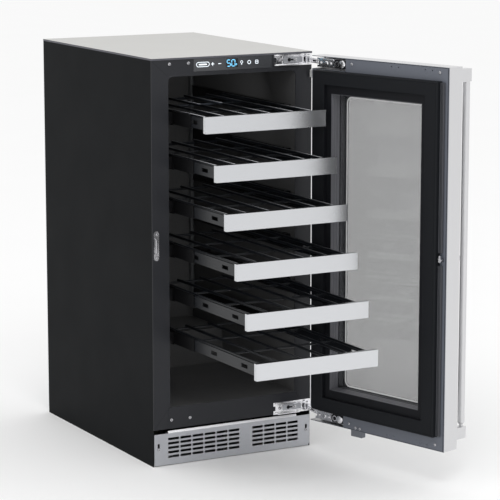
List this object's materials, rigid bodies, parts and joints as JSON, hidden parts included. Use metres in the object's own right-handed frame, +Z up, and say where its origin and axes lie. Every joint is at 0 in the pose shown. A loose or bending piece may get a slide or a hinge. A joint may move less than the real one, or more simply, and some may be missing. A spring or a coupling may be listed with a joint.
{
  "type": "undercounter wine cooler",
  "caption": "Undercounter wine cooler with a hinged glass door, pull-out wire racks with steel fronts, touch controls and a slotted toe grille.",
  "frame": {"origin": "centre of the cabinet's footprint on the floor, door and racks not counted", "axes": "+Z up, +X towards the hinge side seen from the front, -Y out of the front"},
  "size_m": [0.5277, 0.9919, 0.859],
  "materials": {
    "case_black": "satin black powder coat",
    "lid_grey": "light warm grey paint",
    "zinc_sheet": "galvanised sheet",
    "frame_grey": "dark grey satin paint",
    "liner_grey": "dark grey vacuum-formed plastic",
    "foam": "rigid polyurethane foam",
    "fascia_black": "gloss black",
    "display": "dark lens over lit digits",
    "icon_print": "pale printed marks",
    "zinc_hinge": "bright zinc plate",
    "grille_steel": "silver grey satin paint",
    "screw_steel": "bright plated screw",
    "foot_nylon": "black nylon foot on a zinc stud",
    "compressor_black": "black enamel",
    "fin_aluminium": "bare fins",
    "black_plastic": "moulded black plastic",
    "pan_plastic": "grey moulded tray",
    "light_diffuser": "frosted diffuser",
    "slide_black": "black plated slide",
    "slide_grey": "dark grey plated slide and black wire",
    "trim_steel": "brushed stainless steel",
    "door_steel": "brushed stainless steel",
    "panel_slate": "slate grey coated sheet",
    "liner_black": "satin black plastic",
    "gasket_rubber": "dark grey magnetic gasket",
    "glass_tint": "grey tinted glass",
    "spacer": "dark anodised spacer",
    "bracket_grey": "slate grey coated sheet"
  },
  "bodies": {
    "cabinet": {"side_panels": "case_black", "top_panel": "lid_grey", "back_panel": "zinc_sheet", "base_pan": "zinc_sheet", "levelling_feet": "foot_nylon", "inner_liner": "liner_grey", "foam_insulation": "foam", "face_frame": "frame_grey", "lower_front_panel": "frame_grey", "control_fascia": "fascia_black", "display_window": "display", "touch_icons": "icon_print", "hinge_plates": "zinc_hinge", "hinge_pins": "screw_steel", "toe_grille": "grille_steel", "cabinet_screws": "screw_steel", "latch_strike": "screw_steel", "compressor": "compressor_black", "condenser": "compressor_black", "condenser_fan_shroud": "black_plastic", "drain_pan": "pan_plastic", "rear_air_cover": "liner_grey", "evaporator": "fin_aluminium", "light_bars": "light_diffuser", "power_inlet": "black_plastic", "slide_rails": "slide_black"},
    "door": {"door_shell": "door_steel", "door_inner_panel": "panel_slate", "outer_glass": "glass_tint", "glass_spacer": "spacer", "inner_glass": "glass_tint", "door_liner": "liner_black", "door_gasket": "gasket_rubber", "door_handle": "door_steel", "door_hinge_blocks": "zinc_hinge", "door_screws": "screw_steel", "door_bracket": "bracket_grey", "lock_cylinder": "screw_steel"},
    "hinge_arms": {"hinge_arms": "zinc_hinge"},
    "lock_bolt": {"lock_bolt": "screw_steel"},
    "condenser_fan": {"condenser_fan": "black_plastic"},
    "evaporator_fan": {"evaporator_fan": "black_plastic"},
    "rack_1": {"rack_1_frame": "slide_grey", "rack_1_trim": "trim_steel"},
    "rack_1_runners": {"rack_1_runners": "slide_black"},
    "rack_2": {"rack_2_frame": "slide_grey", "rack_2_trim": "trim_steel"},
    "rack_2_runners": {"rack_2_runners": "slide_black"},
    "rack_3": {"rack_3_frame": "slide_grey", "rack_3_trim": "trim_steel"},
    "rack_3_runners": {"rack_3_runners": "slide_black"},
    "rack_4": {"rack_4_frame": "slide_grey", "rack_4_trim": "trim_steel"},
    "rack_4_runners": {"rack_4_runners": "slide_black"},
    "rack_5": {"rack_5_frame": "slide_grey", "rack_5_trim": "trim_steel"},
    "rack_5_runners": {"rack_5_runners": "slide_black"},
    "rack_6": {"rack_6_frame": "slide_grey", "rack_6_trim": "trim_steel"},
    "rack_6_runners": {"rack_6_runners": "slide_black"}
  },
  "joints": [
    {"name": "door_swing", "type": "hinge", "parent": "cabinet", "child": "door", "pos_m": [0.189, -0.328, 0.467], "axis": [0, 0, 1], "range_deg": [-18, 9.45]},
    {"name": "hinge_arm_swing", "type": "hinge", "parent": "cabinet", "child": "hinge_arms", "pos_m": [0.176, -0.282, 0.468], "axis": [0, 0, 1], "range_deg": [-9, 4.8]},
    {"name": "lock_turn", "type": "hinge", "parent": "door", "child": "lock_bolt", "pos_m": [0.24885, -0.69229, 0.472], "axis": [-0.9634, -0.2681, 0], "range_deg": [-90, 0]},
    {"name": "condenser_fan_spin", "type": "hinge", "parent": "cabinet", "child": "condenser_fan", "pos_m": [-0.062, -0.16, 0.047], "axis": [0, 1, 0], "continuous": true},
    {"name": "evaporator_fan_spin", "type": "hinge", "parent": "cabinet", "child": "evaporator_fan", "pos_m": [0, 0.218, 0.64], "axis": [0, 1, 0], "continuous": true},
    {"name": "rack_1_slide", "type": "slide", "parent": "cabinet", "child": "rack_1", "axis": [0, -1, 0], "range_m": [-0.1486, 0.2264]},
    {"name": "rack_1_runner_slide", "type": "slide", "parent": "cabinet", "child": "rack_1_runners", "axis": [0, -1, 0], "range_m": [-0.0748, 0.1137]},
    {"name": "rack_2_slide", "type": "slide", "parent": "cabinet", "child": "rack_2", "axis": [0, -1, 0], "range_m": [-0.1939, 0.1811]},
    {"name": "rack_2_runner_slide", "type": "slide", "parent": "cabinet", "child": "rack_2_runners", "axis": [0, -1, 0], "range_m": [-0.08551, 0.07989]},
    {"name": "rack_3_slide", "type": "slide", "parent": "cabinet", "child": "rack_3", "axis": [0, -1, 0], "range_m": [-0.2362, 0.1388]},
    {"name": "rack_3_runner_slide", "type": "slide", "parent": "cabinet", "child": "rack_3_runners", "axis": [0, -1, 0], "range_m": [-0.08551, 0.05045]},
    {"name": "rack_4_slide", "type": "slide", "parent": "cabinet", "child": "rack_4", "axis": [0, -1, 0], "range_m": [-0.2797, 0.0953]},
    {"name": "rack_4_runner_slide", "type": "slide", "parent": "cabinet", "child": "rack_4_runners", "axis": [0, -1, 0], "range_m": [-0.0855, 0.02946]},
    {"name": "rack_5_slide", "type": "slide", "parent": "cabinet", "child": "rack_5", "axis": [0, -1, 0], "range_m": [-0.323, 0.052]},
    {"name": "rack_5_runner_slide", "type": "slide", "parent": "cabinet", "child": "rack_5_runners", "axis": [0, -1, 0], "range_m": [-0.08551, 0.01419]},
    {"name": "rack_6_slide", "type": "slide", "parent": "cabinet", "child": "rack_6", "axis": [0, -1, 0], "range_m": [-0.3608, 0.0142]},
    {"name": "rack_6_runner_slide", "type": "slide", "parent": "cabinet", "child": "rack_6_runners", "axis": [0, -1, 0], "range_m": [-0.0855, 0.00385]}
  ],
  "couplings": [
    {"joint": "hinge_arm_swing", "follows": "door_swing", "ratio": 0.493},
    {"joint": "rack_1_runner_slide", "follows": "rack_1_slide", "ratio": 0.5},
    {"joint": "rack_2_runner_slide", "follows": "rack_2_slide", "ratio": 0.4384},
    {"joint": "rack_3_runner_slide", "follows": "rack_3_slide", "ratio": 0.3599},
    {"joint": "rack_4_runner_slide", "follows": "rack_4_slide", "ratio": 0.3039},
    {"joint": "rack_5_runner_slide", "follows": "rack_5_slide", "ratio": 0.2632},
    {"joint": "rack_6_runner_slide", "follows": "rack_6_slide", "ratio": 0.2356}
  ]
}
